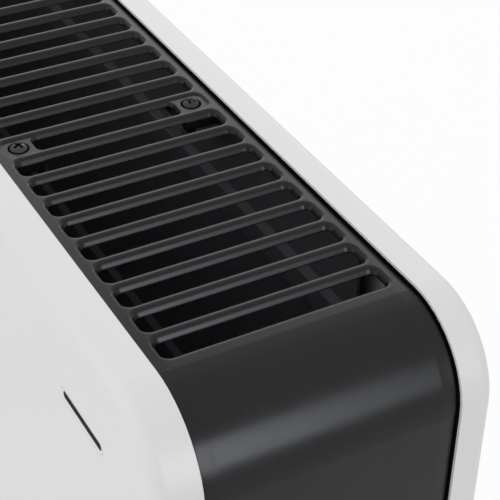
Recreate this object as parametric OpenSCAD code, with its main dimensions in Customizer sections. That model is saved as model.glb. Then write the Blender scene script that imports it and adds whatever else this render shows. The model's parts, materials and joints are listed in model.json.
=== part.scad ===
// Convector radiator: two white pressed steel panels with a dark moulded band
// between them. The band carries the slotted outlet grille over its top and
// wraps round both ends. Air enters through the base and passes two finned
// heating elements. The front faces -Y, the control end is +X, +Z is up.
// All sizes are in millimetres.

/* [Grille] */
// Distance from one slot to the next
slot_pitch = 13; // [13:0.1:16]
// Width of a slot on the underside of the band, along the radiator
slot_w = 8.1; // [7:0.1:8.4]
// Slope of the slots' walls, measured from the vertical
wall_slope = 30; // [10:1:35]
// Radius of the crown between a slot's wall and the top
crown_r = 1.8; // [0.8:0.1:2]
// Number of slots in each group between two screw slots
group_slots = 9; // [6:1:11]
// Number of slot groups
group_count = 4; // [2:1:5]
// Distance from a slot's end on the underside to the edge of the band
slot_margin = 4.9; // [3.6:0.1:8]
// Corner radius of a slot on the underside
slot_r = 2; // [1:0.1:3]
// Strip between the last slot on the underside and the start of the corner
end_land = 5.6; // [4:0.2:20]
// Length of the solid land at each end of a screw slot
pocket_l = 10.5; // [9:0.5:14]
// Depth of that land below the band
land_d = 0.8; // [0.4:0.1:1.2]
// Depth of the counterbore in it, below the band
pocket_d = 3.4; // [3:0.2:5]
// Distance of a grille screw from the end of its slot
screw_in = 4.4; // [4.2:0.1:5.5]

/* [Band] */
// Width of the dark band, front to rear
band_w = 83.8; // [76:0.2:110]
// Wall of the band and the end covers
band_t = 2.2; // [1.8:0.2:2.6]
// How far the band lies below the white flanges
band_recess = 1.3; // [1.1:0.1:2.5]
// Width of the shadow gap between band and flange
gap_w = 0.6; // [0.5:0.1:2]
// Depth of the shadow gap
gap_d = 3; // [2:0.2:4]
// Width of the strip along each edge of the band that rounds down
edge_w = 5; // [3:0.5:6]
// Slope at which that strip ends
edge_fall = 17; // [5:1:25]
// Length of the band's straight leg below the corner
leg_h = 72; // [66:2:90]
// Overlap of the end covers behind the band and the base
lap_h = 10; // [8:1:14]

/* [Panels] */
// Height of the white panels
panel_h = 380; // [360:10:480]
// Sheet thickness of the panels
panel_t = 1; // [0.8:0.1:1.2]
// Width of the front panel's flange
flange_w = 13.8; // [12:0.2:20]
// Width of the rear panel's flange
rear_flange_w = 11.8; // [11:0.2:20]
// Radius of the panels' corners
corner_r = 29.3; // [24:0.1:36]
// Radius of the fold between face and flange
fold_r = 4; // [3:0.5:7]
// Length of the slit in the front panel
slit_l = 30.4; // [16:0.2:34]
// Height of that slit
slit_h = 4.4; // [2:0.2:5]
// Distance of the slit's centre from the nearer end
slit_side = 52.8; // [44:0.1:70]
// Distance of the slit's centre below the top
slit_drop = 31.8; // [24:0.1:50]

/* [Duct] */
// Sheet thickness of liners, partitions and base
sheet_t = 1; // [0.8:0.1:1.2]
// Distance of each liner behind the fold of its panel
liner_in = 5.5; // [5:0.5:7]
// Height of the pressed rib along a liner
rib_h = 9; // [8:1:20]
// Depth of that rib
rib_d = 2.5; // [1.5:0.5:3]
// Height of the top rib below the liner's upper edge
rib_drop = 35.6; // [30:0.2:60]
// Width of a liner's tab under each screw
tab_w = 14; // [12:1:17]
// How far the partitions end below the liners
part_drop = 28; // [20:1:40]
// Width of the compartment behind each end of the band
bay_w = 62; // [60:1:80]
// Width of an intake slot in the base
intake_w = 6; // [4:0.5:8]
// Distance between two intake slots
intake_pitch = 14; // [12:1:20]

/* [Heating elements] */
// Radius of the heating tube
tube_r = 4.25; // [3.25:0.25:5]
// Distance between the two legs of a tube
leg_gap = 34; // [28:1:40]
// Height of the lower tube above the base
tube_z = 80; // [60:5:110]
// Height of the upper tube above the lower one
tube_step = 52; // [46:2:70]
// Height of a fin
fin_h = 36; // [28:1:40]
// Width of a fin
fin_w = 62; // [58:1:70]
// Thickness of a fin
fin_t = 0.6; // [0.4:0.1:1]
// Distance between two fins
fin_pitch = 10; // [8:1:16]

/* [Controls] */
// Outer radius of a knob
knob_r = 17; // [14:0.5:20]
// Height of a knob
knob_h = 12; // [9:0.5:12]
// Depth of the control recess
control_d = 15; // [15:0.5:20]
// Height of the control recess
control_h = 120; // [112:2:140]
// Width of the control and grip recesses
recess_w = 62; // [54:1:66]
// Height of the control recess's centre above the base
control_z = 110; // [100:2:130]
// Distance between the two knobs
knob_gap = 66; // [58:1:70]
// Radius of a control shaft
shaft_r = 3; // [2.5:0.25:3.5]
// Height of the grip recess
grip_h = 34; // [28:1:40]
// Depth of the grip recess
grip_d = 22; // [18:1:26]
// Radius of the cord inlet's hole
inlet_r = 4; // [3.5:0.25:5]

/* [Feet] */
// Height of the panels above the floor
foot_h = 30; // [26:1:40]
// Length of a foot, front to rear
foot_l = 230; // [190:5:270]
// Width of a foot
foot_w = 40; // [34:1:50]
// Height of the arch under a foot
arch_h = 12; // [9:1:14]
// Radius of a rubber pad
pad_r = 11; // [8:0.5:13]
// Height of a rubber pad
pad_h = 3; // [2.5:0.5:4]

/* [Hidden] */
$fn = 48;
// Running clearance round a shaft, and the seat clearance between parts
run_gap = 0.05;
seat_gap = 0.3;
// Overlap that keeps a cut clear of a face
cut = 1;

slot_count = group_count * group_slots + group_count - 1;
slot_l = band_w - 2 * slot_margin;
body_w = (slot_count - 1) * slot_pitch + slot_w + 2 * (end_land + corner_r);
front_y = band_w / 2 + gap_w + flange_w;
rear_y = band_w / 2 + gap_w + rear_flange_w;
top_z = foot_h + panel_h;
mid_z = foot_h + panel_h / 2;

// Centres of the corner arcs, and the radii of band and base about them
arc_x = body_w / 2 - corner_r;
arc_top = top_z - corner_r;
arc_low = foot_h + corner_r;
band_r = corner_r - band_recess;
band_top = top_z - band_recess;
base_top = foot_h + band_recess + sheet_t;
end_x = body_w / 2 - band_recess;

// How far a slot's sloped wall and its crown reach out from the underside
crown_drop = crown_r * (1 - sin(wall_slope));
wall_out = (band_t - crown_drop) * tan(wall_slope);
flare_out = wall_out + crown_r * cos(wall_slope);

// Shadow gap: its trough reaches this far under the flange
trough_w = gap_w + 0.5;
// What lies inside is as deep to the front as to the rear: the shallower panel
// sets the end of the tongue under each flange and the places of liners and base
side_y = min(front_y, rear_y);
tongue_y = side_y - fold_r;
liner_y = tongue_y - liner_in;
edge_r = edge_w / sin(edge_fall);

// End covers run from the base's riser to the band's leg
riser_h = 12;
cover_low = arc_low + riser_h;
cover_high = arc_top - leg_h;

// Upper edge of the liners, whose tabs carry the screw pockets
ledge_z = band_top - max(pocket_d, gap_d) - band_t;
pocket_t = band_top - pocket_d - ledge_z;
ledge_in = slot_l / 2 - pocket_l - 1;
tab_lip = 6;
screw_y = slot_l / 2 - screw_in;
part_x = body_w / 2 - bay_w;

// Small screws, named by the thread they carry
screw_r = 1.75;
head_r = 3.25;
head_h = 2.4;
bolt_r = 2.5;
bolt_head_r = 4.5;
bolt_head_h = 3;
bolt_tail = 8;
nut_r = 4.6;
nut_h = 4;
bore_gap = 0.45;
screw_tail = 3;

// A foot reaches a little past the partition above it
foot_past = 5;
foot_x = part_x + foot_past - foot_w / 2;
foot_gap = 1;
foot_seat = pad_h - 1 + arch_h + 4;
bolt_y = band_w / 2 - 16;
pad_y = foot_l / 2 - pad_r - 4;

tubes_z = [base_top + tube_z, base_top + tube_z + tube_step];
bend_room = 40;
bend_x = -part_x + bend_room;
hanger_x = bend_x + 10;
hanger_foot = 10;
fins_low = hanger_x + hanger_foot + 4;
fins_high = part_x - 16;
fin_count = floor((fins_high - fins_low) / fin_pitch);

// Bodies of the rotary controls: width, height and depth
thermostat_box = [32, 36, 20];
selector_box = [26, 28, 17];
knob_x = end_x - control_d;
plate_t = 1.2;
control_mid = base_top + control_z;
knobs_z = [control_mid + knob_gap / 2, control_mid - knob_gap / 2];
grip_mid = cover_high - grip_h / 2 - 22;
bush_r = shaft_r + 2;
neck_h = band_t + plate_t + 3;
shaft_in = 12;
lamp_r = 3.5;

// Fittings in the bay behind the right end cover
bush_out = tube_r + 3.5;
tube_end = part_x + 12;
pin_r = 1.5;
pin_l = 8;
cutout_r = 8;
cutout_rise = 50;
cutout_z = tubes_z[1] + cutout_rise;
cutout_reach = 15;
block_w = 40;
block_h = 20;
block_z = base_top + 32;
inlet_x = part_x + bay_w / 3;
lead_r = 1.2;
lead_rise = 36;

// Holes through the base, and the screws that hold the partitions' flanges
hole_h = 10;
flange_l = 16;
flange_x = part_x + flange_l - 5;
screw_line = 25;
base_screw_x = [-2, -1, 0, 1, 2] * (foot_x - foot_w) / 2;
base_y = tongue_y + 0.5;
base_screw_y = (liner_y + sheet_t + base_y) / 2;

white = [0.87, 0.87, 0.86];
dark = [0.18, 0.18, 0.19];
black = [0.08, 0.08, 0.09];
steel = [0.62, 0.63, 0.64];
zinc = [0.72, 0.73, 0.74];

// Positions of the slots along the radiator, and which of them hold screws
function slot_x(i) = (i - (slot_count - 1) / 2) * slot_pitch;
function holds_screws(i) = (i + 1) % (group_slots + 1) == 0;
screw_slots = [for (i = [0 : slot_count - 1]) if (holds_screws(i)) slot_x(i)];
plain_slots = [for (i = [0 : slot_count - 1]) if (!holds_screws(i)) slot_x(i)];

// Turns a shape drawn in plan upright: its Y becomes up, its Z runs to the rear
module stand() {
    rotate([90, 0, 0]) mirror([0, 0, 1]) children();
}

// Points a shape drawn along +Z outwards along +X
module face_out() {
    rotate([0, 90, 0]) children();
}

// Copies a shape to both ends, or to front and rear
module both_ends() {
    children();
    mirror([1, 0, 0]) children();
}

module both_sides() {
    children();
    mirror([0, 1, 0]) children();
}

module rounded_square(size, r) {
    square([size.x - 2 * r, size.y], center = true);
    square([size.x, size.y - 2 * r], center = true);
    for (x = [-1, 1], y = [-1, 1])
        translate([x * (size.x / 2 - r), y * (size.y / 2 - r)]) circle(r);
}

// Round bar with a hole, standing on the origin
module sleeve(r_out, r_in, h) {
    difference() {
        cylinder(r = r_out, h = h);
        translate([0, 0, -cut]) cylinder(r = r_in, h = h + 2 * cut);
    }
}

// Screw with its seat at the origin, a domed head upwards and a cross recess in it
module pan_screw(r, head_r, head_h, length) {
    dome_h = head_h * 0.65;
    dome_r = (head_r * head_r + dome_h * dome_h) / (2 * dome_h);
    difference() {
        rotate_extrude() intersection() {
            translate([0, head_h - dome_r]) circle(dome_r);
            square([head_r, head_h]);
        }
        for (a = [0, 90]) rotate(a)
            translate([-head_r * 0.6, -head_r * 0.15, head_h * 0.4])
                cube([head_r * 1.2, head_r * 0.3, head_h]);
    }
    translate([0, 0, -length]) cylinder(r = r, h = length);
}

// Straight length of a section, drawn outwards from the arc's centre
module section_run(length) {
    rotate([90, 0, 0]) linear_extrude(length, center = true) children();
}

// A flat closed loop of a section with four round corners
module section_loop(half_x, half_y) {
    for (i = [0 : 3]) {
        along = i % 2 == 0 ? half_y : half_x;
        out = i % 2 == 0 ? half_x : half_y;
        rotate(90 * i) translate([out, 0, 0]) section_run(2 * along) children();
        rotate(90 * i) translate([out, along, 0]) rotate_extrude(angle = 90) children();
    }
}

// White panels

module panel_section(width) {
    square([corner_r - fold_r, panel_t]);
    translate([corner_r - panel_t, fold_r]) square([panel_t, width - fold_r]);
    translate([corner_r - fold_r, fold_r]) intersection() {
        difference() {
            circle(fold_r);
            circle(fold_r - panel_t);
        }
        translate([0, -fold_r]) square(fold_r);
    }
}

// Tray with a flange of one width all round, its face lying at depth y
module panel_tray(width, y) {
    half_x = arc_x;
    half_y = panel_h / 2 - corner_r;
    difference() {
        union() {
            section_loop(half_x, half_y) panel_section(width);
            translate([-half_x, -half_y, 0]) cube([2 * half_x, 2 * half_y, panel_t]);
        }
        for (x = base_screw_x)
            translate([x, -panel_h / 2 - cut, y - base_screw_y])
                rotate([-90, 0, 0]) cylinder(r = screw_r + run_gap, h = panel_t + 2 * cut);
    }
}

module panel_slit() {
    linear_extrude(panel_t + 2 * cut) {
        square([slit_l - slit_h, slit_h], center = true);
        for (x = [-1, 1]) translate([x * (slit_l - slit_h) / 2, 0]) circle(slit_h / 2);
    }
}

module front_panel() {
    color(white) translate([0, -front_y, mid_z]) stand() difference() {
        panel_tray(flange_w, front_y);
        both_ends() translate([body_w / 2 - slit_side, panel_h / 2 - slit_drop, -cut])
            panel_slit();
    }
}

module rear_panel() {
    color(white) translate([0, rear_y, mid_z]) mirror([0, 1, 0]) stand() difference() {
        panel_tray(rear_flange_w, rear_y);
        translate([inlet_x, arc_low - mid_z, -cut])
            cylinder(r = inlet_r + 3, h = panel_t + 2 * cut);
    }
}

// Dark band: a strip that rounds down along its edges, a trough at each side that
// makes the shadow gap, and a tongue that lies under the white flange

module band_section() {
    half = band_w / 2;
    flat = half - edge_w;
    translate([band_r - band_t, -flat]) square([band_t, 2 * flat]);
    for (s = [-1, 1]) scale([1, s]) {
        translate([band_r - edge_r, flat]) intersection() {
            circle(edge_r, $fn = 180);
            translate([edge_r - band_t, 0]) square([band_t, edge_w]);
        }
        translate([band_r - gap_d - band_t, half - band_t]) square([gap_d, band_t]);
        translate([band_r - gap_d - band_t, half - band_t])
            square([band_t, trough_w + 2 * band_t]);
        translate([band_r - gap_d - band_t, half + trough_w]) square([gap_d + band_t, band_t]);
        translate([band_r - band_t, half + trough_w])
            square([band_t, tongue_y - half - trough_w]);
    }
}

module band_shell() {
    stand() {
        translate([0, arc_top, 0]) rotate(90) section_run(2 * arc_x) band_section();
        both_ends() translate([arc_x, arc_top, 0]) {
            rotate_extrude(angle = 90) band_section();
            translate([0, -leg_h / 2, 0]) section_run(leg_h) band_section();
        }
    }
}

// Solid block under each end of a screw slot, as wide as the rungs beside it
module pocket_blocks() {
    wide = 2 * slot_pitch - slot_w;
    long = pocket_l + slot_margin - band_t - seat_gap;
    for (x = screw_slots) both_sides()
        translate([x - wide / 2, ledge_in + 1, ledge_z])
            cube([wide, long, band_top - ledge_z - land_d / 2]);
}

// One side of a slot's space, upwards from the depth of the pockets: a sloped
// wall that ends at a crown. The slot's edge on the underside is at x = half.
function slot_side(half) = [
    [half - tan(wall_slope) * (pocket_d - band_t), -pocket_d], [half + wall_out, -crown_drop],
    [half + flare_out, -crown_r], [half + flare_out, cut]
];

module slot_section(half) {
    side = slot_side(half);
    difference() {
        polygon(concat(side, [for (i = [3 : -1 : 0]) [-side[i].x, side[i].y]]));
        for (x = [-1, 1]) translate([x * (half + flare_out), -crown_r]) circle(crown_r);
    }
}

// Half of that section, turned about the corner of a slot
module slot_corner() {
    side = slot_side(slot_r);
    rotate_extrude(angle = 90) difference() {
        polygon(concat([[0, cut], [0, -pocket_d]], side));
        translate([slot_r + flare_out, -crown_r]) circle(crown_r);
    }
}

module at_slots(places) {
    for (x = places) translate([x, 0, band_top]) children();
}

// Space of slots of one length, with crowned edges all round
module slot_space(places, length) {
    straight = length / 2 - slot_r;
    across = slot_w / 2 - slot_r;
    at_slots(places) section_run(2 * straight) slot_section(slot_w / 2);
    at_slots(places) rotate(90) section_run(2 * across) slot_section(length / 2);
    for (a = [0, 180]) {
        at_slots(places) rotate(a) translate([across, straight, 0]) slot_corner();
        at_slots(places) rotate(a) translate([-across, straight, 0]) rotate(90) slot_corner();
    }
}

module grille_band() {
    open_l = slot_l - 2 * pocket_l;
    color(dark) difference() {
        union() {
            band_shell();
            pocket_blocks();
        }
        slot_space(plain_slots, slot_l);
        slot_space(screw_slots, open_l);
        intersection() {
            slot_space(screw_slots, slot_l);
            translate([-body_w / 2, -band_w / 2, band_top - land_d])
                cube([body_w, band_w, land_d + cut]);
        }
        at_slots(screw_slots) translate([0, 0, -pocket_d - pocket_t - cut])
            linear_extrude(pocket_t + 2 * cut) rounded_square([slot_w, open_l], slot_r);
        at_slots(screw_slots) both_sides() translate([0, screw_y, -pocket_d])
            cylinder(r = head_r + bore_gap, h = pocket_d + cut);
        at_slots(screw_slots) both_sides() translate([0, screw_y, -pocket_d - pocket_t - cut])
            cylinder(r = screw_r + run_gap, h = pocket_t + 2 * cut);
    }
}

module grille_screws() {
    color(black) for (x = screw_slots) both_sides()
        translate([x, screw_y, band_top - pocket_d])
            pan_screw(screw_r, head_r, head_h, pocket_t + sheet_t + 2 * screw_tail);
}

// End covers

module cover_strip() {
    middle = (cover_low + cover_high) / 2;
    length = cover_high - cover_low - 2 * seat_gap;
    stand() translate([arc_x, middle, 0]) section_run(length) band_section();
}

// Flat tab at one end of a cover, lying behind the strip next to it
module lap_tab(seam_z, up) {
    tab_w = band_w - 4 * band_t;
    translate([end_x - 2 * band_t - seat_gap, -tab_w / 2, seam_z]) mirror([0, 0, up ? 0 : 1]) {
        translate([0, 0, -lap_h]) cube([band_t, tab_w, 2 * lap_h]);
        translate([0, 0, -lap_h]) cube([band_t + seat_gap, tab_w, lap_h - seat_gap]);
    }
}

// Open tub let into a cover, its mouth flush with the cover's face
module recess_tub(mid, height, depth) {
    translate([end_x - depth - band_t, 0, mid]) rotate([90, 0, 90])
        linear_extrude(depth + band_t / 2)
            rounded_square([recess_w + 2 * band_t, height + 2 * band_t], 5 + band_t);
}

module recess_hollow(mid, height, depth) {
    translate([end_x - depth, 0, mid]) rotate([90, 0, 90])
        linear_extrude(depth + cut) rounded_square([recess_w, height], 5);
}

module plain_end_cover() {
    difference() {
        union() {
            cover_strip();
            lap_tab(cover_low, false);
            lap_tab(cover_high, true);
            recess_tub(grip_mid, grip_h, grip_d);
        }
        recess_hollow(grip_mid, grip_h, grip_d);
        translate([end_x - 3 * band_t - cut, 0, cover_low - lap_h / 2]) face_out()
            cylinder(r = screw_r + run_gap, h = 3 * band_t);
    }
}

module right_end_cover() {
    color(dark) difference() {
        union() {
            plain_end_cover();
            recess_tub(control_mid, control_h, control_d);
        }
        recess_hollow(control_mid, control_h, control_d);
        for (z = knobs_z) translate([knob_x - band_t - cut, 0, z]) face_out()
            cylinder(r = bush_r + run_gap, h = band_t + 2 * cut);
        translate([knob_x - band_t - cut, 0, control_mid]) face_out()
            cylinder(r = lamp_r + run_gap, h = band_t + 2 * cut);
    }
}

module left_end_cover() {
    color(dark) mirror([1, 0, 0]) plain_end_cover();
}

module end_cover_screws() {
    color(black) both_ends() translate([end_x, 0, cover_low - lap_h / 2]) face_out()
        pan_screw(screw_r, head_r, head_h * 0.5, 2 * band_t + screw_tail);
}

// Base: a flat sheet with an upturned round end on each side

module base_section() {
    translate([band_r - sheet_t, -base_y]) square([sheet_t, 2 * base_y]);
}

module base_plate() {
    rows = floor(arc_x / intake_pitch) - 1;
    intake_l = liner_y - 14;
    color(white) difference() {
        stand() {
            translate([0, arc_low, 0]) rotate(-90) section_run(2 * arc_x) base_section();
            both_ends() translate([arc_x, arc_low, 0]) {
                rotate(-90) rotate_extrude(angle = 90) base_section();
                translate([0, riser_h / 2, 0]) section_run(riser_h) base_section();
            }
        }
        for (i = [-rows : rows]) if (open_base(i * intake_pitch))
            both_sides() translate([i * intake_pitch, liner_y / 2 - 2, foot_h])
                linear_extrude(hole_h) rounded_square([intake_w, intake_l], intake_w / 2 - 0.5);
        both_ends() both_sides() {
            translate([foot_x, bolt_y, foot_h]) cylinder(r = bolt_r + run_gap, h = hole_h);
            translate([flange_x, screw_line, foot_h])
                cylinder(r = screw_r + run_gap, h = hole_h);
        }
        for (x = base_screw_x) both_sides() translate([x, base_screw_y, foot_h])
            cylinder(r = screw_r + run_gap, h = hole_h);
        both_ends() translate([end_x - 2 * sheet_t, 0, cover_low - lap_h / 2]) face_out()
            cylinder(r = screw_r + run_gap, h = 3 * sheet_t);
    }
}

// True where the base has room for an intake slot
function open_base(x) = abs(abs(x) - foot_x) > (foot_w + intake_w) / 2 + cut
    && abs(x) < part_x - intake_w
    && abs(x - hanger_x - hanger_foot / 2) > (hanger_foot + intake_w) / 2 + cut;

module base_screws() {
    color(zinc) for (x = base_screw_x) both_sides()
        translate([x, base_screw_y, foot_h]) mirror([0, 0, 1])
            pan_screw(screw_r, head_r, head_h, band_recess + 2 * sheet_t + screw_tail);
}

// Duct: two ribbed liners between two partitions

module liner_section() {
    out = liner_y + sheet_t;
    polygon(concat(
        [[liner_y, base_top], [base_y, base_top], [base_y, base_top + sheet_t],
            [out, base_top + sheet_t]],
        rib_points(out, [1, 2, 3], 1),
        [[out, ledge_z], [liner_y, ledge_z]],
        rib_points(liner_y, [3, 2, 1], -1)
    ));
}

// Outline of the ribs on a face at distance y, listed upwards or downwards
function rib_points(y, order, dir) = [
    for (k = order) each [
        [y, rib_z(k) - dir * (rib_h / 2 + rib_d)],
        [y - rib_d, rib_z(k) - dir * rib_h / 2],
        [y - rib_d, rib_z(k) + dir * rib_h / 2],
        [y, rib_z(k) + dir * (rib_h / 2 + rib_d)]
    ]
];

function rib_z(k) = base_top + k * (ledge_z - rib_drop - base_top) / 3;

// Liner on the rear side, with a tab under each screw pocket
module liner() {
    difference() {
        union() {
            rotate([90, 0, 90]) linear_extrude(2 * part_x, center = true) liner_section();
            for (x = screw_slots) translate([x - tab_w / 2, ledge_in, ledge_z]) {
                translate([0, 0, -sheet_t]) cube([tab_w, liner_y + sheet_t - ledge_in, sheet_t]);
                translate([0, 0, -tab_lip]) cube([tab_w, sheet_t, tab_lip]);
            }
        }
        for (x = screw_slots) translate([x, screw_y, ledge_z - sheet_t - cut])
            cylinder(r = screw_r + run_gap, h = sheet_t + 2 * cut);
        for (x = base_screw_x) translate([x, base_screw_y, base_top - cut])
            cylinder(r = screw_r + run_gap, h = sheet_t + 2 * cut);
    }
}

module front_liner() {
    color(black) mirror([0, 1, 0]) liner();
}

module rear_liner() {
    color(black) liner();
}

// Sheet across the duct, with a flange along its foot
module partition() {
    half = liner_y + sheet_t;
    translate([part_x, -half, base_top]) {
        cube([sheet_t, 2 * half, ledge_z - part_drop - base_top]);
        cube([flange_l, 2 * half, sheet_t]);
    }
}

module partition_holes() {
    both_sides() translate([flange_x, screw_line, base_top - cut])
        cylinder(r = screw_r + run_gap, h = sheet_t + 2 * cut);
}

module right_partition() {
    color(black) difference() {
        partition();
        partition_holes();
        for (z = tubes_z) both_sides() translate([part_x - cut, leg_gap / 2, z]) face_out()
            cylinder(r = bush_out, h = sheet_t + 2 * cut);
        translate([part_x - cut, 0, cutout_z]) face_out()
            cylinder(r = cutout_r + run_gap, h = sheet_t + 2 * cut);
    }
}

module left_partition() {
    color(black) mirror([1, 0, 0]) difference() {
        partition();
        partition_holes();
    }
}

module partition_screws() {
    color(zinc) both_ends() both_sides()
        translate([flange_x, screw_line, base_top + sheet_t])
            pan_screw(screw_r, head_r, head_h, 2 * sheet_t + screw_tail);
}

// Heating elements: hairpin tubes carrying packs of fins

module hairpin(z) {
    color(steel) translate([0, 0, z]) {
        both_sides() translate([bend_x, leg_gap / 2, 0]) face_out()
            cylinder(r = tube_r, h = tube_end - bend_x);
        translate([bend_x, 0, 0]) rotate(90) rotate_extrude(angle = 180)
            translate([leg_gap / 2, 0]) circle(tube_r);
    }
}

module fin_pack(z) {
    length = (fin_count - 1) * fin_pitch + fin_t;
    color(zinc) translate([fins_low, 0, z]) difference() {
        union() {
            for (i = [0 : fin_count - 1]) translate([i * fin_pitch, -fin_w / 2, -fin_h / 2])
                cube([fin_t, fin_w, fin_h]);
            both_sides() translate([0, leg_gap / 2, 0]) face_out()
                cylinder(r = tube_r + 0.8, h = length);
        }
        both_sides() translate([-cut, leg_gap / 2, 0]) face_out()
            cylinder(r = tube_r + run_gap, h = length + 2 * cut);
    }
}

module lower_heating_tube() {
    hairpin(tubes_z[0]);
}

module upper_heating_tube() {
    hairpin(tubes_z[1]);
}

module lower_fin_pack() {
    fin_pack(tubes_z[0]);
}

module upper_fin_pack() {
    fin_pack(tubes_z[1]);
}

// Ceramic bush round each leg where it passes the partition
module tube_bushes() {
    color("ivory") for (z = tubes_z) both_sides() translate([part_x - 2, leg_gap / 2, z]) face_out() {
        sleeve(bush_out - run_gap, tube_r + run_gap, 2 + sheet_t + 5);
        sleeve(bush_out + 1.5, tube_r + run_gap, 2);
    }
}

module tube_terminals() {
    color(steel) for (z = tubes_z) both_sides() translate([tube_end, leg_gap / 2, z]) face_out()
        cylinder(r = pin_r, h = pin_l);
}

// Plate that carries the bends, standing on the base between the liners
module tube_hanger() {
    half = liner_y - rib_d - seat_gap;
    color(zinc) difference() {
        translate([hanger_x, -half, base_top]) {
            cube([sheet_t, 2 * half, tubes_z[1] + fin_h / 2 - base_top]);
            cube([hanger_foot, 2 * half, sheet_t]);
        }
        for (z = tubes_z) both_sides() translate([hanger_x - cut, leg_gap / 2, z]) face_out()
            cylinder(r = tube_r + run_gap, h = sheet_t + 2 * cut);
    }
}

// Disc thermostat that cuts the heat, let into the partition
module thermal_cutout() {
    color(steel) translate([part_x, 0, cutout_z]) {
        translate([-3, 0, 0]) face_out() cylinder(r = cutout_r, h = 9);
        translate([sheet_t, -cutout_r - 5, -5]) cube([1, 2 * cutout_r + 10, 10]);
        for (y = [-4, 4]) translate([6, y - 0.4, -3]) cube([cutout_reach - 6, 0.8, 6]);
    }
}

// Controls

// Rotary control with a threaded neck, its face at the origin and its shaft upwards
module rotary_body(box) {
    difference() {
        union() {
            translate([-box.y / 2, -box.x / 2, -box.z]) cube([box.y, box.x, box.z]);
            cylinder(r = bush_r, h = neck_h);
            for (x = [-1, 1], y = [-1, 1]) translate([x * box.y / 3, y * box.x / 4 - 0.4, -box.z - 7])
                cube([3, 0.8, 8]);
        }
        translate([0, 0, -shaft_in]) cylinder(r = shaft_r + run_gap, h = shaft_in + neck_h + cut);
    }
}

module at_control(k) {
    translate([knob_x - band_t, 0, knobs_z[k]]) face_out() children();
}

module control_shaft() {
    cylinder(r = shaft_r, h = shaft_in - seat_gap + band_t + plate_t + seat_gap + knob_h - 2.5);
}

module knob() {
    bar_w = 9;
    difference() {
        union() {
            rotate_extrude() {
                square([knob_r - 2, 5]);
                square([knob_r, 3]);
                translate([knob_r - 2, 3]) circle(2);
            }
            intersection() {
                translate([-knob_r, -bar_w / 2, 0]) cube([2 * knob_r, bar_w, knob_h]);
                cylinder(r = knob_r - 1, h = knob_h);
            }
        }
        translate([0, 0, -cut]) cylinder(r = shaft_r + run_gap, h = knob_h - 2.5 + cut);
        translate([0, 0, -cut]) cylinder(r = bush_r + 3.5, h = neck_h - band_t - plate_t + cut);
        translate([-knob_r, -0.6, knob_h - 0.8]) cube([knob_r - 3, 1.2, 2]);
    }
}

module thermostat_body() {
    color(black) at_control(0) rotary_body(thermostat_box);
}

module selector_body() {
    color(black) at_control(1) rotary_body(selector_box);
}

module thermostat_shaft() {
    color(steel) at_control(0) translate([0, 0, seat_gap - shaft_in]) control_shaft();
}

module selector_shaft() {
    color(steel) at_control(1) translate([0, 0, seat_gap - shaft_in]) control_shaft();
}

module thermostat_knob() {
    color(dark) at_control(0) translate([0, 0, band_t + plate_t + seat_gap]) knob();
}

module selector_knob() {
    color(dark) at_control(1) translate([0, 0, band_t + plate_t + seat_gap]) knob();
}

module control_nuts() {
    color(zinc) for (k = [0, 1]) at_control(k) translate([0, 0, band_t + plate_t]) difference() {
        cylinder(r = bush_r + 2.5, h = neck_h - band_t - plate_t - 0.5, $fn = 6);
        translate([0, 0, -cut]) cylinder(r = bush_r + run_gap, h = neck_h);
    }
}

module control_plate() {
    color(black) translate([knob_x, 0, control_mid]) face_out() difference() {
        linear_extrude(plate_t) rounded_square([control_h - 1, recess_w - 1], 4.5);
        for (s = [-1, 1]) translate([s * knob_gap / 2, 0, -cut])
            cylinder(r = bush_r + run_gap, h = plate_t + 2 * cut);
        translate([0, 0, -cut]) cylinder(r = lamp_r + run_gap, h = plate_t + 2 * cut);
    }
}

module indicator_lens() {
    color("orange") translate([knob_x - band_t, 0, control_mid]) face_out() {
        cylinder(r = lamp_r, h = band_t + plate_t);
        translate([0, 0, band_t + plate_t]) cylinder(r = lamp_r + 1, h = 1);
        translate([0, 0, band_t + plate_t + 1]) cylinder(r1 = lamp_r + 1, r2 = lamp_r - 1, h = 0.8);
    }
}

module indicator_lamp() {
    color("ivory") translate([knob_x - band_t - 14, 0, control_mid]) face_out()
        cylinder(r = lamp_r - 0.4, h = 14);
}

module terminal_block() {
    color("ivory") translate([part_x + sheet_t, -block_w / 2, block_z]) difference() {
        cube([block_h - 6, block_w, block_h]);
        for (i = [0 : 3]) translate([4 + cut, (i + 0.5) * block_w / 4, block_h / 2]) face_out()
            cylinder(r = 2, h = block_h);
    }
}

// Rubber bush for the supply cord, in the rear panel
module cord_inlet_bush() {
    color(black) translate([inlet_x, rear_y, arc_low]) rotate([90, 0, 0]) {
        translate([0, 0, -2]) sleeve(inlet_r + 5, inlet_r, 2);
        translate([0, 0, -0.5]) sleeve(inlet_r + 3 - run_gap, inlet_r, panel_t + 7);
        translate([0, 0, panel_t + 0.2]) sleeve(inlet_r + 4.5, inlet_r, 2);
    }
}

// Straight round bar from one point to another
module rod(a, b, r) {
    run = b - a;
    translate(a) rotate([0, acos(run.z / norm(run)), atan2(run.y, run.x)])
        cylinder(r = r, h = norm(run));
}

module lead(points) {
    for (i = [0 : len(points) - 2]) rod(points[i], points[i + 1], lead_r);
    for (i = [1 : len(points) - 2]) translate(points[i]) sphere(lead_r + run_gap);
}

// Leads from the tubes' pins to the controls behind the end cover
module supply_leads() {
    pin_x = tube_end + pin_l;
    side = leg_gap / 2;
    hole_z = block_z + block_h / 2;
    color("firebrick") both_sides() {
        lead([
            [pin_x, side, tubes_z[0]], [pin_x + 2, side, tubes_z[0]],
            [pin_x + 2, block_w * 3 / 8, hole_z], [part_x + sheet_t + 6, block_w * 3 / 8, hole_z]
        ]);
        lead([
            [pin_x, side, tubes_z[1]], [pin_x + 2, side, tubes_z[1]],
            [pin_x + 2, side + 2, tubes_z[1] + lead_rise], [pin_x + 2, 4, cutout_z],
            [part_x + cutout_reach, 4, cutout_z]
        ]);
    }
}

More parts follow.
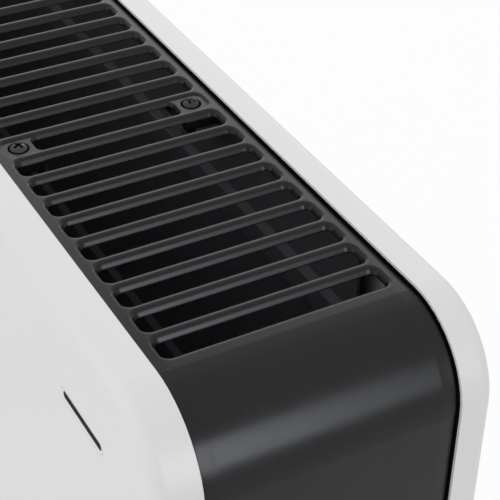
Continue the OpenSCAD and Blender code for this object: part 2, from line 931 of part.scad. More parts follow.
// Feet: arched bars across both ends, standing on rubber pads

module foot_outline() {
    tip = pad_h - 1;
    end = foot_l / 2;
    shoulder = max(front_y, rear_y);
    seat = band_w / 2 - 2;
    half = [
        [end - 3, tip], [end, tip + 3], [end, tip + 7], [shoulder + 8, foot_h - 4],
        [shoulder - 4, foot_h - foot_gap], [seat, foot_h - foot_gap],
        [seat, foot_h + band_recess]
    ];
    chord = end - 2 * pad_r - 8;
    arch_r = (chord * chord + arch_h * arch_h) / (2 * arch_h);
    difference() {
        polygon(concat(half, [for (i = [len(half) - 1 : -1 : 0]) [-half[i].x, half[i].y]]));
        translate([0, tip + arch_h - arch_r]) circle(arch_r, $fn = 180);
    }
}

module foot() {
    tip = pad_h - 1;
    difference() {
        translate([foot_x, 0, 0]) rotate([90, 0, 90]) linear_extrude(foot_w, center = true)
            foot_outline();
        both_sides() {
            translate([foot_x, bolt_y, 0]) cylinder(r = bolt_r + run_gap, h = foot_h + 10);
            translate([foot_x, bolt_y, 0]) cylinder(r = bolt_head_r + 1, h = foot_seat);
            translate([foot_x, pad_y, -cut]) cylinder(r = pad_r + run_gap, h = pad_h + cut);
        }
    }
}

module left_foot() {
    color(black) mirror([1, 0, 0]) foot();
}

module right_foot() {
    color(black) foot();
}

module foot_screws() {
    color(zinc) both_ends() both_sides() translate([foot_x, bolt_y, foot_seat])
        mirror([0, 0, 1]) pan_screw(bolt_r, bolt_head_r, bolt_head_h, foot_h - foot_seat + bolt_tail);
}

module foot_nuts() {
    color(zinc) both_ends() both_sides() translate([foot_x, bolt_y, base_top]) difference() {
        cylinder(r = nut_r, h = nut_h, $fn = 6);
        translate([0, 0, -cut]) cylinder(r = bolt_r + run_gap, h = nut_h + 2 * cut);
    }
}

module foot_pads() {
    color(black) both_ends() both_sides() translate([foot_x, pad_y, 0]) cylinder(r = pad_r, h = pad_h);
}

front_panel();
rear_panel();
grille_band();
grille_screws();
right_end_cover();
left_end_cover();
end_cover_screws();
base_plate();
base_screws();
front_liner();
rear_liner();
right_partition();
left_partition();
partition_screws();
lower_heating_tube();
upper_heating_tube();
lower_fin_pack();
upper_fin_pack();
tube_bushes();
tube_terminals();
tube_hanger();
thermal_cutout();
thermostat_body();
thermostat_shaft();
thermostat_knob();
selector_body();
selector_shaft();
selector_knob();
control_nuts();
control_plate();
indicator_lens();
indicator_lamp();
terminal_block();
cord_inlet_bush();
supply_leads();
left_foot();
right_foot();
foot_screws();
foot_nuts();
foot_pads();
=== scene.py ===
import json
import math

import bmesh
import bpy
from mathutils import Matrix, Vector


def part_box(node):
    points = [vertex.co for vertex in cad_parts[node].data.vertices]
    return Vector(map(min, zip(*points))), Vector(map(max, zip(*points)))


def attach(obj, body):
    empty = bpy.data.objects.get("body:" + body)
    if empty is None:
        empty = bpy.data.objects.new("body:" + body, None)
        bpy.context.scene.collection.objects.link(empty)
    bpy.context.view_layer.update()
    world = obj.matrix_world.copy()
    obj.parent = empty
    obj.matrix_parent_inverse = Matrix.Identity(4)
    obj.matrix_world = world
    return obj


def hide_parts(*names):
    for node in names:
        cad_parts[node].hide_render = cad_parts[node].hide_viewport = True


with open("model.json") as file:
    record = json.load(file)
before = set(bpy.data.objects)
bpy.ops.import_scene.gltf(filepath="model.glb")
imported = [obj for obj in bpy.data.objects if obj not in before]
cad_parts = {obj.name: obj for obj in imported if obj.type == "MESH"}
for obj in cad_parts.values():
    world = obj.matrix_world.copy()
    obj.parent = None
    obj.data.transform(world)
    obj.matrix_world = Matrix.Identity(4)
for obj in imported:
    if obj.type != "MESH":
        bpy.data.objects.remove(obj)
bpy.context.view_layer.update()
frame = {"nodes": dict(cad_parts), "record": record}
scene = bpy.context.scene
print("model loaded:", len(frame["nodes"]), "nodes")

# Camera, at the viewing angle of a close look from above one top corner
cameraView = {
    "place": (0.53991, -0.17492, 0.67880),
    "heading": 150.379,  # degrees from +X towards +Y
    "tilt": -36.084,
    "roll": -1.351,
    "lens": 107.65,
    "sensor": 36,
    "nearest": 0.01,
}


def makeCamera(values):
    heading, tilt, roll = (math.radians(values[k]) for k in ("heading", "tilt", "roll"))
    level = Vector((math.cos(heading), math.sin(heading), 0))
    forward = level * math.cos(tilt) + Vector((0, 0, math.sin(tilt)))
    side = forward.cross(Vector((0, 0, 1))).normalized()
    down = forward.cross(side)
    right = math.cos(roll) * side + math.sin(roll) * down
    below = -math.sin(roll) * side + math.cos(roll) * down
    camera = bpy.data.objects.new("Camera", bpy.data.cameras.new("Camera"))
    scene.collection.objects.link(camera)
    turn = Matrix((right, -below, -forward)).transposed().to_4x4()
    camera.matrix_world = Matrix.Translation(values["place"]) @ turn
    camera.data.lens = values["lens"]
    camera.data.sensor_width = values["sensor"]
    camera.data.clip_start = values["nearest"]
    scene.camera = camera
    print("camera set")


makeCamera(cameraView)


# Short ways to build shader nodes
def addNode(tree, kind, inputs=None, **settings):
    node = tree.nodes.new(kind)
    for key, value in settings.items():
        setattr(node, key, value)
    for key, value in (inputs or {}).items():
        feed(tree, value, node.inputs[key])
    return node


def feed(tree, value, socket):
    if isinstance(value, bpy.types.NodeSocket):
        tree.links.new(value, socket)
    else:
        socket.default_value = value


def maths(tree, operation, a, b=0.0):
    return addNode(tree, "ShaderNodeMath", {0: a, 1: b}, operation=operation).outputs[0]


def weighted(tree, a, b, share):
    first = maths(tree, "MULTIPLY", a, share)
    return maths(tree, "ADD", first, maths(tree, "MULTIPLY", b, 1.0 - share))


def remap(tree, value, low, high, toLow=0.0, toHigh=1.0):
    node = addNode(tree, "ShaderNodeMapRange", {
        "Value": value, "From Min": low, "From Max": high, "To Min": toLow, "To Max": toHigh})
    return node.outputs[0]


def blend(tree, amount, a, b):
    node = addNode(tree, "ShaderNodeMix", data_type="RGBA")
    for index, value in ((0, amount), (6, a), (7, b)):
        feed(tree, value, node.inputs[index])
    return node.outputs[2]


def noise(tree, place, scale, detail, roughness=0.5):
    return addNode(tree, "ShaderNodeTexNoise", {
        "Vector": place, "Scale": scale, "Detail": detail, "Roughness": roughness}).outputs["Fac"]


def objectPlace(tree):
    return addNode(tree, "ShaderNodeTexCoord").outputs["Object"]


# 1 where the camera, a mirror image or a look through glass meets the surface
def seenDirectly(tree):
    path = addNode(tree, "ShaderNodeLightPath").outputs
    through = maths(tree, "MAXIMUM", path["Is Glossy Ray"], path["Is Transmission Ray"])
    return maths(tree, "MAXIMUM", path["Is Camera Ray"], through)


def newGroup(name, inputs, outputs):
    group = bpy.data.node_groups.new(name, "ShaderNodeTree")
    for label, kind, default in inputs:
        socket = group.interface.new_socket(label, in_out="INPUT", socket_type=kind)
        socket.default_value = default
    for label in outputs:
        group.interface.new_socket(label, in_out="OUTPUT", socket_type="NodeSocketFloat")
    return group, addNode(group, "NodeGroupInput").outputs, addNode(group, "NodeGroupOutput").inputs


# Fine pebble grain of moulded plastic: a height, and a patchy mask for colour and gloss
grainRelief = {
    "cellScale": 2400.0,
    "cellShare": 0.6,
    "rippleScale": 900.0,
    "rippleDetail": 3.0,
    "patchScale": 30.0,
    "patchDetail": 4.0,
    "patchRoughness": 0.6,
    "patchRange": (0.35, 0.65),
}


def makeGrainGroup(values):
    inputs = [("Scale", "NodeSocketFloat", 1.0), ("Patch Scale", "NodeSocketFloat", values["patchScale"])]
    group, given, wanted = newGroup("mouldedGrain", inputs, ["Height", "Patches"])
    place = objectPlace(group)
    cellScale = maths(group, "MULTIPLY", given["Scale"], values["cellScale"])
    cells = addNode(group, "ShaderNodeTexVoronoi", {"Vector": place, "Scale": cellScale}).outputs["Distance"]
    rippleScale = maths(group, "MULTIPLY", given["Scale"], values["rippleScale"])
    ripple = noise(group, place, rippleScale, values["rippleDetail"])
    patches = noise(group, place, given["Patch Scale"], values["patchDetail"], values["patchRoughness"])
    group.links.new(weighted(group, cells, ripple, values["cellShare"]), wanted["Height"])
    group.links.new(remap(group, patches, *values["patchRange"]), wanted["Patches"])
    return group


# Powder coat: the soft orange peel of sprayed and baked paint
coatRelief = {
    "peelScale": 420.0,
    "peelShare": 0.75,
    "peelDetail": 2.0,
    "peelRoughness": 0.4,
    "fineScale": 1800.0,
    "fineDetail": 1.0,
    "patchScale": 9.0,
    "patchDetail": 3.0,
    "patchRoughness": 0.55,
    "patchRange": (0.3, 0.7),
}


def makeCoatGroup(values):
    inputs = [("Scale", "NodeSocketFloat", 1.0)]
    group, given, wanted = newGroup("powderCoat", inputs, ["Height", "Patches"])
    place = objectPlace(group)
    peelScale = maths(group, "MULTIPLY", given["Scale"], values["peelScale"])
    peel = noise(group, place, peelScale, values["peelDetail"], values["peelRoughness"])
    fineScale = maths(group, "MULTIPLY", given["Scale"], values["fineScale"])
    fine = noise(group, place, fineScale, values["fineDetail"])
    patches = noise(group, place, values["patchScale"], values["patchDetail"], values["patchRoughness"])
    group.links.new(weighted(group, peel, fine, values["peelShare"]), wanted["Height"])
    group.links.new(remap(group, patches, *values["patchRange"]), wanted["Patches"])
    return group


# Drawn or rolled metal: fine lines along one axis, and clouded plating
metalRelief = {
    "lines": (40.0, 2500.0, 2500.0),
    "lineDetail": 3.0,
    "lineRoughness": 0.6,
    "cloudScale": 60.0,
    "cloudDetail": 4.0,
    "cloudRoughness": 0.65,
    "cloudRange": (0.3, 0.7),
}


def makeMetalGroup(values):
    inputs = [
        ("Lines", "NodeSocketVector", values["lines"]),
        ("Cloud Scale", "NodeSocketFloat", values["cloudScale"]),
    ]
    group, given, wanted = newGroup("rolledMetal", inputs, ["Height", "Clouds"])
    place = objectPlace(group)
    drawn = addNode(group, "ShaderNodeVectorMath", {0: place, 1: given["Lines"]}, operation="MULTIPLY")
    lines = noise(group, drawn.outputs[0], 1.0, values["lineDetail"], values["lineRoughness"])
    clouds = noise(group, place, given["Cloud Scale"], values["cloudDetail"], values["cloudRoughness"])
    group.links.new(lines, wanted["Height"])
    group.links.new(remap(group, clouds, *values["cloudRange"]), wanted["Clouds"])
    return group


# Height that rises towards both long edges of the band, so its rounded rim looks flatter
bandRim = {
    "Start": 0.0369,  # from the band's middle
    "Rise": 21.0,
}


def makeRimGroup(values):
    inputs = [(label, "NodeSocketFloat", value) for label, value in values.items()]
    group, given, wanted = newGroup("bandRim", inputs, ["Height"])
    place = addNode(group, "ShaderNodeSeparateXYZ", {"Vector": objectPlace(group)}).outputs
    across = maths(group, "ABSOLUTE", place["Y"])
    beyond = maths(group, "MAXIMUM", maths(group, "SUBTRACT", across, given["Start"]), 0.0)
    height = maths(group, "MULTIPLY", maths(group, "MULTIPLY", beyond, beyond), given["Rise"])
    group.links.new(height, wanted["Height"])
    return group


effects = {
    "grain": makeGrainGroup(grainRelief),
    "coat": makeCoatGroup(coatRelief),
    "metal": makeMetalGroup(metalRelief),
    "rim": makeRimGroup(bandRim),
}
print("effects built:", len(effects))


def useGroup(tree, name, inputs=None):
    node = addNode(tree, "ShaderNodeGroup", node_tree=effects[name])
    for key, value in (inputs or {}).items():
        node.inputs[key].default_value = value
    return node.outputs


def rgba(colour, factor=1.0):
    return (*[min(1.0, c * factor) for c in colour], 1.0)


def startMaterial(name, colour, fixed=None):
    material = bpy.data.materials.new(name)
    material.use_nodes = True
    material.diffuse_color = (*colour, 1.0)
    tree = material.node_tree
    shader = tree.nodes["Principled BSDF"]
    for key, value in (fixed or {}).items():
        shader.inputs[key].default_value = value
    return material, tree, shader


# Colour and gloss that change a little from patch to patch
def setPatches(tree, shader, mask, colours, gloss, spread):
    tree.links.new(blend(tree, mask, *colours), shader.inputs["Base Color"])
    rough = remap(tree, mask, 0.0, 1.0, gloss - spread / 2, gloss + spread / 2)
    tree.links.new(rough, shader.inputs["Roughness"])


edgeSoftness = {
    "radius": 0.0003,
    "samples": 4,
}


# Surface relief, over softened edges and, on the band, a flatter rim
def setRelief(tree, shader, height, strength, distance, edge=edgeSoftness["radius"], rim=None):
    normal = addNode(tree, "ShaderNodeBevel", {"Radius": edge}, samples=edgeSoftness["samples"]).outputs[0]
    if rim:
        rise = useGroup(tree, "rim", rim)["Height"]
        rimBump = addNode(tree, "ShaderNodeBump", {
            "Height": rise, "Strength": 1.0, "Distance": 1.0, "Normal": normal})
        normal = rimBump.outputs["Normal"]
    bump = addNode(tree, "ShaderNodeBump", {
        "Height": height, "Strength": strength, "Distance": distance, "Normal": normal})
    tree.links.new(bump.outputs["Normal"], shader.inputs["Normal"])


# What all finishes of one kind share: darkest and lightest patch, and depth of the relief
kindValues = {
    "plastic": {"shades": (0.92, 1.1), "depth": 0.00006},
    "sheet": {"shades": (0.985, 1.01), "depth": 0.00005},
    "metal": {"depth": 0.00003},
    "ceramic": {
        "shades": (0.93, 1.04), "depth": 0.00008, "grain": 1.6, "patchScale": 120.0,
        "level": 0.35, "gloss": 0.65, "spread": 0.2, "bump": 0.25},
    "lens": {
        "shades": (0.9, 1.05), "depth": 0.00004, "grain": 0.5, "patchScale": 200.0,
        "refraction": 1.49, "spread": 0.08, "bump": 0.05},
}


def shadePair(colour, kind):
    return [rgba(colour, shade) for shade in kindValues[kind]["shades"]]


def mouldedPlastic(name, colour, gloss=0.42, spread=0.06, level=0.3, grain=1.0, bump=0.12,
                   tint=(1.0, 1.0, 1.0), edge=edgeSoftness["radius"], rim=None):
    fixed = {"Specular IOR Level": level, "Specular Tint": rgba(tint)}
    material, tree, shader = startMaterial(name, colour, fixed)
    out = useGroup(tree, "grain", {"Scale": grain})
    setPatches(tree, shader, out["Patches"], shadePair(colour, "plastic"), gloss, spread)
    setRelief(tree, shader, out["Height"], bump, kindValues["plastic"]["depth"], edge, rim)
    return material


def paintedSheet(name, colour, gloss=0.42, spread=0.05, level=0.3, bump=0.1):
    material, tree, shader = startMaterial(name, colour, {"Specular IOR Level": level})
    out = useGroup(tree, "coat")
    setPatches(tree, shader, out["Patches"], shadePair(colour, "sheet"), gloss, spread)
    setRelief(tree, shader, out["Height"], bump, kindValues["sheet"]["depth"])
    return material


def plainMetal(name, colour, cloudColour, gloss, spread=0.16, lines=metalRelief["lines"], bump=0.15):
    material, tree, shader = startMaterial(name, colour, {"Metallic": 1.0})
    out = useGroup(tree, "metal", {"Lines": lines})
    setPatches(tree, shader, out["Clouds"], (rgba(colour), rgba(cloudColour)), gloss, spread)
    setRelief(tree, shader, out["Height"], bump, kindValues["metal"]["depth"])
    return material


def firedCeramic(name, colour):
    values = kindValues["ceramic"]
    material, tree, shader = startMaterial(name, colour, {"Specular IOR Level": values["level"]})
    out = useGroup(tree, "grain", {"Scale": values["grain"], "Patch Scale": values["patchScale"]})
    setPatches(tree, shader, out["Patches"], shadePair(colour, "ceramic"), values["gloss"], values["spread"])
    setRelief(tree, shader, out["Height"], values["bump"], values["depth"])
    return material


def clearLens(name, colour, gloss, transmission):
    values = kindValues["lens"]
    fixed = {"Transmission Weight": transmission, "IOR": values["refraction"], "Metallic": 0.0}
    material, tree, shader = startMaterial(name, colour, fixed)
    out = useGroup(tree, "grain", {"Scale": values["grain"], "Patch Scale": values["patchScale"]})
    setPatches(tree, shader, out["Patches"], shadePair(colour, "lens"), gloss, values["spread"])
    setRelief(tree, shader, out["Height"], values["bump"], values["depth"])
    return material


# One finish for each material slot, a dark matte finish of painted shade for the strips in the front's slits,
# and scale_print for the dials' marks
finishes = {
    "white_enamel": paintedSheet("whiteEnamel", (0.80, 0.80, 0.795)),
    "dark_plastic": mouldedPlastic(
        "darkPlastic", (0.0115, 0.0116, 0.0121), gloss=0.25, level=0.206, tint=(0.95, 0.965, 1.0),
        edge=0.0007, rim=bandRim),
    "knob_plastic": mouldedPlastic(
        "knobPlastic", (0.0105, 0.0107, 0.0113), gloss=0.28, level=0.256, bump=0.08, tint=(0.94, 0.965, 1.0)),
    "black_plastic": mouldedPlastic("blackPlastic", (0.006, 0.006, 0.0064), gloss=0.5, grain=0.7, bump=0.2),
    # Painted shade: a flat dark finish with little reflection, standing in for the shade seen through the
    # slits
    "slit_painted_shade": mouldedPlastic(
        "slitPaintedShade", (0.008, 0.008, 0.0085), gloss=0.6, level=0.06, grain=0.7, bump=0.2),
    "black_screw": plainMetal("blackScrew", (0.040, 0.040, 0.042), (0.064, 0.063, 0.061), gloss=0.3),
    "zinc_steel": plainMetal("zincSteel", (0.56, 0.57, 0.58), (0.46, 0.47, 0.49), gloss=0.34),
    "black_sheet": paintedSheet("blackSheet", (0.070, 0.074, 0.081), gloss=0.55, level=0.2),
    "tube_steel": plainMetal("tubeSteel", (0.36, 0.34, 0.32), (0.25, 0.23, 0.22), gloss=0.4),
    "fin_aluminium": plainMetal(
        "finAluminium", (0.66, 0.67, 0.68), (0.56, 0.57, 0.58), gloss=0.38, lines=(2500.0, 40.0, 2500.0)),
    "ceramic": firedCeramic("ceramic", (0.74, 0.70, 0.62)),
    "lens": clearLens("amberLens", (0.86, 0.26, 0.03), gloss=0.16, transmission=0.55),
    "lamp": clearLens("lampGlass", (0.80, 0.78, 0.74), gloss=0.24, transmission=0.7),
    "rubber": mouldedPlastic("rubber", (0.012, 0.012, 0.012), gloss=0.72, level=0.2, bump=0.2),
    "lead_sleeve": mouldedPlastic("leadSleeve", (0.34, 0.035, 0.022), gloss=0.48, level=0.4, bump=0.1),
    "scale_print": mouldedPlastic(
        "scalePrint", (0.62, 0.62, 0.61), gloss=0.5, spread=0.1, level=0.3, bump=0.05),
}

for part in frame["record"]["subparts"]:
    shape = frame["nodes"][part["node"]]
    for slot in shape.material_slots:
        slot.material = finishes[part["material_slot"]]
print("materials set:", len(finishes))


# Short ways to build and place meshes
def meshObject(name, shape):
    mesh = bpy.data.meshes.new(name)
    shape.to_mesh(mesh)
    shape.free()
    holder = bpy.data.objects.new(name, mesh)
    scene.collection.objects.link(holder)
    return holder


def placePiece(name, shape, finish, body):
    bmesh.ops.recalc_face_normals(shape, faces=shape.faces)
    piece = meshObject(name, shape)
    piece.data.materials.append(finishes[finish])
    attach(piece, body)
    return piece


def evaluatedMesh(holder):
    return bpy.data.meshes.new_from_object(holder.evaluated_get(bpy.context.evaluated_depsgraph_get()))


def bridgeLoops(shape, first, second):
    for i in range(len(first)):
        j = (i + 1) % len(first)
        shape.faces.new((first[i], first[j], second[j], second[i]))


# Printed scales on the control plate, and the painted lines in the knobs
dialMarks = {
    "proud": 0.00012,
    "softShare": 0.25,  # softened edge, as a share of the bar's thickness
    "tickStart": 0.0184,
    "tickLength": 0.0020,
    "shortTick": 0.55,  # share of a full tick
    "tickWidth": 0.0005,
    "numberRing": 0.0236,
    "numberSize": 0.0046,
    "pointer": {"start": 0.0045, "end": 0.0152, "width": 0.0009, "thick": 0.0004, "sink": 0.0008},
    "dials": {
        "thermostat": {"turn": 270, "ticks": 19, "numbers": 7},
        "selector": {"turn": 180, "ticks": 3, "numbers": 3},
    },
}


# Flat bar with softened edges, lying on the face at x, pointing at an angle from straight up
def addBar(shape, x, middle, angle, start, end, width, thick):
    outward = Vector((0, math.sin(angle), math.cos(angle)))
    across = Vector((0, math.cos(angle), -math.sin(angle)))
    soft = min(width, thick) * dialMarks["softShare"]
    rings = []
    for rise, inset in ((0.0, 0.0), (thick - soft, 0.0), (thick, soft)):
        corners = []
        for along, side in ((start + inset, -1), (end - inset, -1), (end - inset, 1), (start + inset, 1)):
            spot = middle + outward * along + across * side * (width / 2 - inset)
            corners.append(shape.verts.new((x + rise, spot.y, spot.z)))
        rings.append(corners)
    for low, high in zip(rings, rings[1:]):
        bridgeLoops(shape, low, high)
    shape.faces.new(rings[-1])
    shape.faces.new(rings[0][::-1])


def addNumber(shape, x, spot, text, values):
    letters = bpy.data.curves.new("number", "FONT")
    letters.body = text
    letters.size = values["numberSize"]
    letters.align_x, letters.align_y = "CENTER", "CENTER"
    letters.extrude = values["proud"] / 2
    holder = bpy.data.objects.new("number", letters)
    scene.collection.objects.link(holder)
    outline = evaluatedMesh(holder)
    toEnd = Matrix(((0, 0, 1, x + values["proud"] / 2), (1, 0, 0, spot.y), (0, 1, 0, spot.z), (0, 0, 0, 1)))
    outline.transform(toEnd)
    shape.from_mesh(outline)
    bpy.data.objects.remove(holder)
    bpy.data.curves.remove(letters)
    bpy.data.meshes.remove(outline)


def addScale(shape, x, middle, dial, values):
    every = (dial["ticks"] - 1) // (dial["numbers"] - 1)
    for i in range(dial["ticks"]):
        angle = math.radians(dial["turn"] * i / (dial["ticks"] - 1))
        length = values["tickLength"] * (1.0 if i % every == 0 else values["shortTick"])
        start = values["tickStart"]
        addBar(shape, x, middle, angle, start, start + length, values["tickWidth"], values["proud"])
        if i % every == 0:
            spot = middle + Vector((0, math.sin(angle), math.cos(angle))) * values["numberRing"]
            addNumber(shape, x, spot, str(i // every), values)


def makeDialMarks(values):
    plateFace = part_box("control_plate")[1].x
    line = values["pointer"]
    for name, dial in values["dials"].items():
        low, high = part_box(name + "_knob")
        middle = Vector((0, (low.y + high.y) / 2, (low.z + high.z) / 2))
        shape = bmesh.new()
        addScale(shape, plateFace, middle, dial, values)
        placePiece(name + "_scale", shape, "scale_print", "casing")
        shape = bmesh.new()
        floor = high.x - line["sink"]
        addBar(shape, floor, middle, 0.0, line["start"], line["end"], line["width"], line["thick"])
        placePiece(name + "_pointer", shape, "scale_print", name + "_dial")
    print("dial marks made:", len(values["dials"]))


makeDialMarks(dialMarks)

# Pan heads that stand just proud of the band, with a tapered cross recess
grilleScrews = {
    "headRadius": 0.0031,
    "rimHeight": 0.0027,  # straight side of the head, up from its seat
    "rimSoft": 0.0002,
    "domeHeight": 0.0016,
    "domeRise": 0.97,  # share of the head's radius at which the dome starts
    "domeSteps": 8,
    "crownRadius": 0.0001,
    "crossReach": 0.0024,
    "crossWidth": 0.0012,
    "crossDepth": 0.0021,
    "crossFloor": (0.35, 0.6),  # shares of reach and width at the recess's floor
    "crossMouth": (1.12, 1.12),  # and above the head
    "crossOver": 0.0005,
    "shankRadius": 0.0017,
    "tipShare": 0.6,
    "tipLength": 0.0006,
    "seatDrop": 0.0034,  # seat below the band's top
    "turns": (64, 12, 40, 75, 28, 52),  # how far each was driven
    "steps": 40,
    "apart": 0.008,  # points closer than this belong to one screw
}


def addRing(shape, radius, z, steps):
    turns = [2 * math.pi * i / steps for i in range(steps)]
    return [shape.verts.new((radius * math.cos(t), radius * math.sin(t), z)) for t in turns]


def closedStack(loops, shape):
    for low, high in zip(loops, loops[1:]):
        bridgeLoops(shape, low, high)
    shape.faces.new(loops[0])
    shape.faces.new(loops[-1])
    bmesh.ops.recalc_face_normals(shape, faces=shape.faces)
    return shape


# One tapered arm of the cross, from the recess's floor to above the head
def crossArm(values, top, angle):
    shape = bmesh.new()
    loops = []
    floor = (top - values["crossDepth"], values["crossFloor"])
    mouth = (top + values["crossOver"], values["crossMouth"])
    for z, (reachShare, widthShare) in (floor, mouth):
        reach, half = reachShare * values["crossReach"], widthShare * values["crossWidth"] / 2
        corners = ((-reach, -half), (reach, -half), (reach, half), (-reach, half))
        loops.append([shape.verts.new((x, y, z)) for x, y in corners])
    closedStack(loops, shape)
    bmesh.ops.rotate(shape, verts=shape.verts, matrix=Matrix.Rotation(math.radians(angle), 3, "Z"))
    return shape


# Radius and height up the screw, from its tip to the dome's crown
def screwProfile(values, length):
    rim, dome, radius, shank = (values[k] for k in ("rimHeight", "domeHeight", "headRadius", "shankRadius"))
    bend = (radius ** 2 + dome ** 2) / (2 * dome)
    profile = [
        (shank * values["tipShare"], -length), (shank, values["tipLength"] - length), (shank, 0.0),
        (radius, 0.0), (radius, rim - values["rimSoft"])]
    for i in range(values["domeSteps"]):
        across = radius * values["domeRise"] * (1 - i / values["domeSteps"])
        profile.append((across, rim + dome - bend + math.sqrt(bend ** 2 - across ** 2)))
    profile.append((values["crownRadius"], rim + dome))
    return profile


def screwMesh(values, length):
    shape = bmesh.new()
    loops = [addRing(shape, radius, z, values["steps"]) for radius, z in screwProfile(values, length)]
    body = meshObject("screwBody", closedStack(loops, shape))
    for angle in (0, 90):
        arm = meshObject("screwCross", crossArm(values, values["rimHeight"] + values["domeHeight"], angle))
        cut = body.modifiers.new("cross", "BOOLEAN")
        cut.operation, cut.solver, cut.object = "DIFFERENCE", "EXACT", arm
        done = evaluatedMesh(body)
        body.modifiers.clear()
        body.data = done
        bpy.data.objects.remove(arm)
    mesh = body.data
    bpy.data.objects.remove(body)
    return mesh


# Middle of each screw, read from the carried-over node
def screwCentres(apart):
    screws = []
    for vertex in frame["nodes"]["grille_screws"].data.vertices:
        spot = vertex.co
        for points in screws:
            if abs(points[0].x - spot.x) < apart and abs(points[0].y - spot.y) < apart:
                points.append(spot)
                break
        else:
            screws.append([spot])
    return [[(min(p[axis] for p in points) + max(p[axis] for p in points)) / 2 for axis in (0, 1)]
            for points in screws]


def makeGrilleScrews(values):
    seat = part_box("grille_band")[1].z - values["seatDrop"]
    mesh = screwMesh(values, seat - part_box("grille_screws")[0].z)
    shape = bmesh.new()
    for (x, y), turn in zip(sorted(screwCentres(values["apart"])), values["turns"]):
        copy = mesh.copy()
        copy.transform(Matrix.Translation((x, y, seat)) @ Matrix.Rotation(math.radians(turn), 4, "Z"))
        shape.from_mesh(copy)
        bpy.data.meshes.remove(copy)
    piece = placePiece("grille_pan_screws", shape, "black_screw", "casing")
    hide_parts("grille_screws")
    print("grille screws made:", len(values["turns"]))


makeGrilleScrews(grilleScrews)

# The front panel's slits: a dark strip of painted shade, standing in for the shade seen through the opening,
# and a rim that fills the sheet's opening round it
slitTrim = {
    # side from the panel's nearer end, drop from its top
    "opening": {"side": 0.0528, "drop": 0.0318, "size": (0.0304, 0.0044)},
    "strip": {"side": 0.05205, "drop": 0.03112, "size": (0.0276, 0.00274)},
    "overlap": 0.0005,
    "lip": 0.00002,  # slope of the rim's outer edge, and its play round the strip
    "fit": 0.00005,  # play in the sheet's opening
    "stripSoft": 0.0001,
    "proud": 0.00003,
    "thick": 0.0014,
    "roundSteps": 10,
}


# Outline of a slot with round ends on the front face, run the same way for every size
def slotLoop(shape, centre, depth, size, steps, grow=0.0):
    radius = size[1] / 2 + grow
    half = size[0] / 2 - size[1] / 2
    loop = []
    for side in (1, -1):
        for i in range(steps + 1):
            turn = math.radians(180 * i / steps - 90) * side
            along = centre[0] + side * (half + radius * math.cos(turn))
            loop.append(shape.verts.new((along, depth, centre[1] + radius * math.sin(turn))))
    return loop


def addSlitTrim(rims, strips, end, values):
    low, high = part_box("front_panel")
    front, back, face = low.y, low.y + values["thick"], low.y - values["proud"]
    overlap, lip, steps = values["overlap"], values["lip"], values["roundSteps"]
    (hole, holeSize), (line, lineSize) = (
        ((end * (high.x - values[k]["side"]), high.z - values[k]["drop"]), values[k]["size"])
        for k in ("opening", "strip"))
    loops = [
        slotLoop(rims, hole, back, holeSize, steps, -values["fit"]),
        slotLoop(rims, hole, front, holeSize, steps, -values["fit"]),
        slotLoop(rims, hole, front, holeSize, steps, overlap),
        slotLoop(rims, hole, face, holeSize, steps, overlap - lip),
        slotLoop(rims, line, face, lineSize, steps, lip),
        slotLoop(rims, line, back, lineSize, steps, lip),
    ]
    for first, second in zip(loops, loops[1:] + loops[:1]):
        bridgeLoops(rims, first, second)
    # The flush dark strip, painted shade in place of the shade seen through the slit
    loops = [
        slotLoop(strips, line, back, lineSize, steps),
        slotLoop(strips, line, front, lineSize, steps),
        slotLoop(strips, line, face, lineSize, steps, -values["stripSoft"]),
    ]
    closedStack(loops, strips)


def makeSlitTrim(values):
    rims, strips = bmesh.new(), bmesh.new()
    for end in (-1, 1):
        addSlitTrim(rims, strips, end, values)
    placePiece("slit_rims", rims, "white_enamel", "casing")
    # The strips carry painted shade, the dark of the slits' openings
    placePiece("slit_strips", strips, "slit_painted_shade", "casing")
    print("slit trim made")


makeSlitTrim(slitTrim)

# Floor, lamps and world. The two right lamps are one near light box, full and then fading
stageLook = {
    "floorHalf": 6.0,
    "floorColour": (0.86, 0.86, 0.86),
    "floorShades": (0.99, 1.01),
    "floorGloss": 0.9,
    "paperScale": 0.2,
    "floorShown": 0.93,  # share of plain white that the camera sees in the floor
    "worldLevel": 0.79,
    "aim": (0.2, 0.0, 0.38),
    "lamps": {
        "frontBox": {"heading": -100, "height": 16, "far": 2.6, "size": (1.6, 1.6), "power": 6},
        "topBox": {"heading": -150, "height": 62, "far": 2.6, "size": (1.8, 1.8), "power": 4.5},
        "backBox": {
            "heading": 150, "height": 22, "far": 2.4, "size": (1.94, 1.5), "power": 10.8, "glossOnly": True},
        "rightBox": {
            "heading": 0, "height": 0, "far": 0.4, "size": (0.168, 0.280), "power": 1.1, "glossOnly": True,
            "colour": (0.965, 0.99, 1.045), "aim": (0.28, 0.084, 0.530)},
        "rightWing": {
            "heading": 0, "height": 0, "far": 0.4, "size": (0.103, 0.280), "power": 0.26, "glossOnly": True,
            "colour": (0.965, 0.99, 1.045), "aim": (0.28, 0.2195, 0.530)},
    },
}


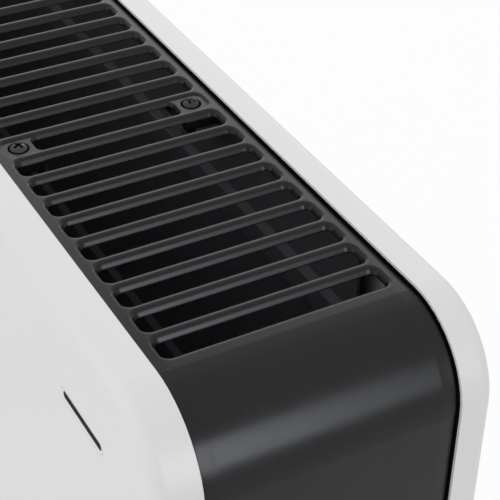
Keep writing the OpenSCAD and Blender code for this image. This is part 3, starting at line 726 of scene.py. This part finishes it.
def makeFloor(values):
    mesh = bpy.data.meshes.new("floor")
    half = values["floorHalf"]
    corners = [(-half, -half, 0), (half, -half, 0), (half, half, 0), (-half, half, 0)]
    mesh.from_pydata(corners, [], [(0, 1, 2, 3)])
    floor = bpy.data.objects.new("floor", mesh)
    scene.collection.objects.link(floor)
    colour = values["floorColour"]
    material, tree, shader = startMaterial("floorPaper", colour, {"Roughness": values["floorGloss"]})
    paper = useGroup(tree, "coat", {"Scale": values["paperScale"]})
    dark, light = (rgba(colour, shade) for shade in values["floorShades"])
    tree.links.new(blend(tree, paper["Patches"], dark, light), shader.inputs["Base Color"])
    white = addNode(tree, "ShaderNodeEmission", {"Color": (1, 1, 1, 1), "Strength": 1.0}).outputs[0]
    shown = maths(tree, "MULTIPLY", seenDirectly(tree), values["floorShown"])
    mix = addNode(tree, "ShaderNodeMixShader", {0: shown, 1: shader.outputs[0], 2: white})
    tree.links.new(mix.outputs[0], tree.nodes["Material Output"].inputs["Surface"])
    mesh.materials.append(material)


def makeLamp(name, values, usualAim):
    heading, height = math.radians(values["heading"]), math.radians(values["height"])
    level = Vector((math.cos(heading), math.sin(heading), 0))
    way = level * math.cos(height) + Vector((0, 0, math.sin(height)))
    light = bpy.data.lights.new(name, "AREA")
    light.shape = "RECTANGLE"
    light.size, light.size_y = values["size"]
    light.energy = values["power"]
    light.color = values.get("colour", (1.0, 1.0, 1.0))
    lamp = bpy.data.objects.new(name, light)
    lamp.location = Vector(values.get("aim", usualAim)) + way * values["far"]
    lamp.rotation_mode = "QUATERNION"
    lamp.rotation_quaternion = way.to_track_quat("Z", "Y")
    lamp.visible_camera = False
    lamp.visible_diffuse = not values.get("glossOnly", False)
    scene.collection.objects.link(lamp)


def makeWorld(values):
    world = bpy.data.worlds.new("studio")
    scene.world = world
    world.use_nodes = True
    tree = world.node_tree
    light = addNode(tree, "ShaderNodeBackground", {"Color": (1, 1, 1, 1), "Strength": values["worldLevel"]})
    white = addNode(tree, "ShaderNodeBackground", {"Color": (1, 1, 1, 1), "Strength": 1.0})
    mix = addNode(tree, "ShaderNodeMixShader", {
        0: seenDirectly(tree), 1: light.outputs[0], 2: white.outputs[0]})
    tree.links.new(mix.outputs[0], tree.nodes["World Output"].inputs["Surface"])


makeFloor(stageLook)
for lampName, lampValues in stageLook["lamps"].items():
    makeLamp(lampName, lampValues, stageLook["aim"])
makeWorld(stageLook)
scene.view_settings.view_transform = "Standard"
print("stage ready")
